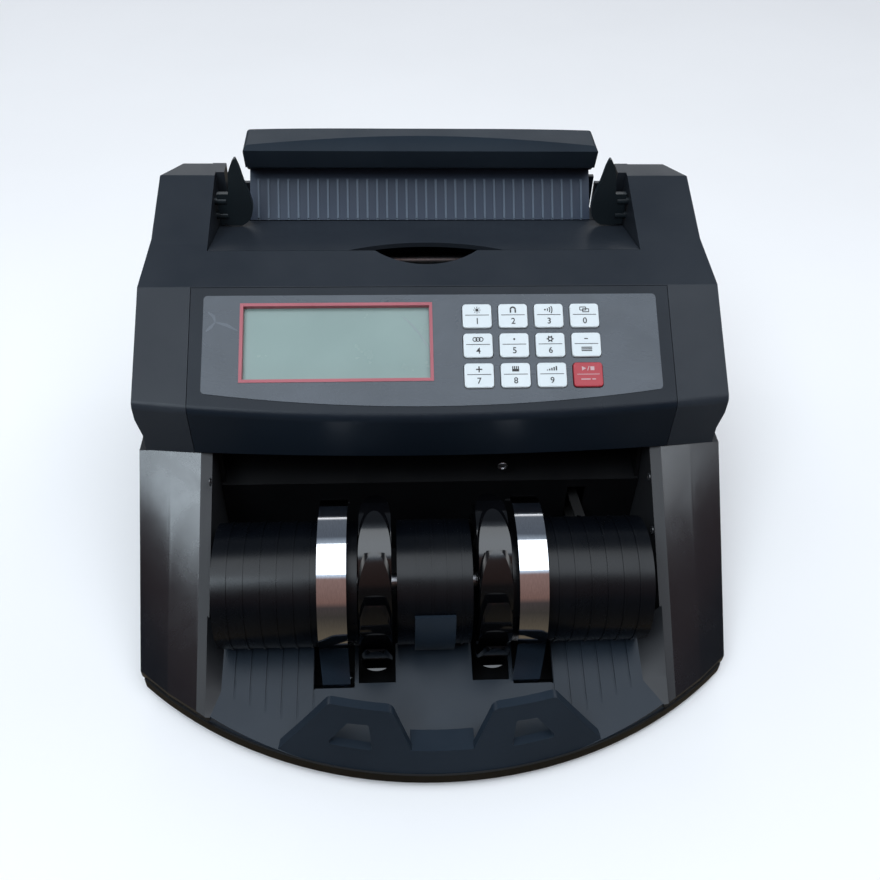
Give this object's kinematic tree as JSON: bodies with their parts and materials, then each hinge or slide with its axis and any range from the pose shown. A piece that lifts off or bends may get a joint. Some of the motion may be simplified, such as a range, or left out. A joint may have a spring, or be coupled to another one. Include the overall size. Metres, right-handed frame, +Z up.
{
  "type": "banknote counting machine",
  "caption": "Desktop banknote counter with sloped keypad and display panel, rear note hopper, feed rollers, stacker wheels and open front tray.",
  "frame": {"origin": "centre of the overall footprint, on the plane the feet stand on", "axes": "+Z up, front faces -Y, +X to the right seen from the front"},
  "size_m": [0.29, 0.284, 0.188],
  "materials": {
    "abs_black": "satin moulded",
    "abs_gloss": "glossy",
    "overlay": "glossy film",
    "white_key": "satin",
    "red_plastic": "glossy",
    "lcd_glass": "glossy",
    "board": "solder mask",
    "steel": "plated",
    "chrome": "mirror",
    "rubber": "matt"
  },
  "bodies": {
    "case": {"base_pan": "abs_black", "rubber_feet": "rubber", "case_screws": "steel", "lower_housing": "abs_black", "upper_cover": "abs_black", "control_panel": "abs_black", "panel_overlay": "overlay", "lcd_bezel": "red_plastic", "lcd_module": "lcd_glass", "keypad_board": "board", "main_board": "board", "stacker_tray": "abs_black", "drum_cover_left": "abs_gloss", "drum_cover_centre": "abs_gloss", "drum_cover_right": "abs_gloss", "chrome_strip_left": "chrome", "chrome_strip_right": "chrome", "stacker_bracket": "steel", "hopper_floor": "abs_black", "chassis": "steel", "bearings": "steel", "path_guide": "abs_black", "main_motor": "steel", "stack_motor": "steel", "drive_belts": "rubber", "power_board": "board", "mains_inlet": "abs_gloss", "switch_body": "abs_gloss"},
    "note_guide_left_body": {"note_guide_left": "abs_black"},
    "note_guide_right_body": {"note_guide_right": "abs_black"},
    "rear_door_body": {"rear_door": "abs_black", "backrest_plate": "abs_black", "handle_bar": "abs_black"},
    "gap_knob_body": {"gap_knob": "abs_black"},
    "impeller_body": {"impeller_shaft": "steel", "impeller_wheel_left": "abs_gloss", "impeller_wheel_right": "abs_gloss"},
    "feed_body": {"feed_shaft": "steel", "feed_rollers": "rubber"},
    "pickup_body": {"pickup_shaft": "steel", "pickup_rollers": "rubber"},
    "carry_body": {"carry_roller": "steel"},
    "pinch_body": {"pinch_rollers": "steel"},
    "main_motor_rotor": {"main_motor_shaft": "steel"},
    "stack_motor_rotor": {"stack_motor_shaft": "steel"},
    "switch_rocker_body": {"switch_rocker": "abs_gloss"},
    "key_01_body": {"key_01": "white_key"},
    "key_02_body": {"key_02": "white_key"},
    "key_03_body": {"key_03": "white_key"},
    "key_04_body": {"key_04": "white_key"},
    "key_05_body": {"key_05": "white_key"},
    "key_06_body": {"key_06": "white_key"},
    "key_07_body": {"key_07": "white_key"},
    "key_08_body": {"key_08": "white_key"},
    "key_09_body": {"key_09": "white_key"},
    "key_10_body": {"key_10": "white_key"},
    "key_11_body": {"key_11": "white_key"},
    "key_12_body": {"key_12": "red_plastic"}
  },
  "joints": [
    {"name": "key_01_press", "type": "slide", "parent": "case", "child": "key_01_body", "axis": [0, 0.5344, -0.8453], "range_m": [0, 0.001], "stiffness_N_per_m": 600, "springref_m": -0.0006},
    {"name": "key_02_press", "type": "slide", "parent": "case", "child": "key_02_body", "axis": [0, 0.5344, -0.8453], "range_m": [0, 0.001], "stiffness_N_per_m": 600, "springref_m": -0.0006},
    {"name": "key_03_press", "type": "slide", "parent": "case", "child": "key_03_body", "axis": [0, 0.5344, -0.8453], "range_m": [0, 0.001], "stiffness_N_per_m": 600, "springref_m": -0.0006},
    {"name": "key_04_press", "type": "slide", "parent": "case", "child": "key_04_body", "axis": [0, 0.5344, -0.8453], "range_m": [0, 0.001], "stiffness_N_per_m": 600, "springref_m": -0.0006},
    {"name": "key_05_press", "type": "slide", "parent": "case", "child": "key_05_body", "axis": [0, 0.5344, -0.8453], "range_m": [0, 0.001], "stiffness_N_per_m": 600, "springref_m": -0.0006},
    {"name": "key_06_press", "type": "slide", "parent": "case", "child": "key_06_body", "axis": [0, 0.5344, -0.8453], "range_m": [0, 0.001], "stiffness_N_per_m": 600, "springref_m": -0.0006},
    {"name": "key_07_press", "type": "slide", "parent": "case", "child": "key_07_body", "axis": [0, 0.5344, -0.8453], "range_m": [0, 0.001], "stiffness_N_per_m": 600, "springref_m": -0.0006},
    {"name": "key_08_press", "type": "slide", "parent": "case", "child": "key_08_body", "axis": [0, 0.5344, -0.8453], "range_m": [0, 0.001], "stiffness_N_per_m": 600, "springref_m": -0.0006},
    {"name": "key_09_press", "type": "slide", "parent": "case", "child": "key_09_body", "axis": [0, 0.5344, -0.8453], "range_m": [0, 0.001], "stiffness_N_per_m": 600, "springref_m": -0.0006},
    {"name": "key_10_press", "type": "slide", "parent": "case", "child": "key_10_body", "axis": [0, 0.5344, -0.8453], "range_m": [0, 0.001], "stiffness_N_per_m": 600, "springref_m": -0.0006},
    {"name": "key_11_press", "type": "slide", "parent": "case", "child": "key_11_body", "axis": [0, 0.5344, -0.8453], "range_m": [0, 0.001], "stiffness_N_per_m": 600, "springref_m": -0.0006},
    {"name": "key_12_press", "type": "slide", "parent": "case", "child": "key_12_body", "axis": [0, 0.5344, -0.8453], "range_m": [0, 0.001], "stiffness_N_per_m": 600, "springref_m": -0.0006},
    {"name": "guide_left_slide", "type": "slide", "parent": "case", "child": "note_guide_left_body", "axis": [1, 0, 0], "range_m": [0, 0.012]},
    {"name": "guide_right_slide", "type": "slide", "parent": "case", "child": "note_guide_right_body", "axis": [-1, 0, 0], "range_m": [0, 0.012]},
    {"name": "rear_door_hinge", "type": "hinge", "parent": "case", "child": "rear_door_body", "pos_m": [0, 0.13, 0.022], "axis": [-1, 0, 0], "range_deg": [0, 60]},
    {"name": "gap_knob_turn", "type": "hinge", "parent": "rear_door_body", "child": "gap_knob_body", "pos_m": [0, 0.139, 0.12], "axis": [0, 1, 0], "range_deg": [-150, 150]},
    {"name": "main_motor_spin", "type": "hinge", "parent": "case", "child": "main_motor_rotor", "pos_m": [0.12, 0.058, 0.04], "axis": [1, 0, 0], "continuous": true},
    {"name": "feed_spin", "type": "hinge", "parent": "case", "child": "feed_body", "pos_m": [0, 0.088, 0.104], "axis": [1, 0, 0], "continuous": true},
    {"name": "pickup_spin", "type": "hinge", "parent": "case", "child": "pickup_body", "pos_m": [0, 0.097, 0.131], "axis": [1, 0, 0], "continuous": true},
    {"name": "carry_spin", "type": "hinge", "parent": "case", "child": "carry_body", "pos_m": [0, 0.03, 0.084], "axis": [1, 0, 0], "continuous": true},
    {"name": "pinch_spin", "type": "hinge", "parent": "rear_door_body", "child": "pinch_body", "pos_m": [0, 0.118, 0.104], "axis": [1, 0, 0], "continuous": true},
    {"name": "stack_motor_spin", "type": "hinge", "parent": "case", "child": "stack_motor_rotor", "pos_m": [0.077, 0.018, 0.032], "axis": [1, 0, 0], "continuous": true},
    {"name": "impeller_spin", "type": "hinge", "parent": "case", "child": "impeller_body", "pos_m": [0, -0.0625, 0.0515], "axis": [1, 0, 0], "continuous": true},
    {"name": "power_switch_rock", "type": "hinge", "parent": "case", "child": "switch_rocker_body", "pos_m": [-0.116, 0.1345, 0.0605], "axis": [1, 0, 0], "range_deg": [-6, 0]}
  ],
  "couplings": [
    {"joint": "feed_spin", "follows": "main_motor_spin", "ratio": 0.4375},
    {"joint": "pickup_spin", "follows": "main_motor_spin", "ratio": 0.58333},
    {"joint": "carry_spin", "follows": "main_motor_spin", "ratio": 0.875},
    {"joint": "impeller_spin", "follows": "stack_motor_spin", "ratio": 0.66667}
  ]
}
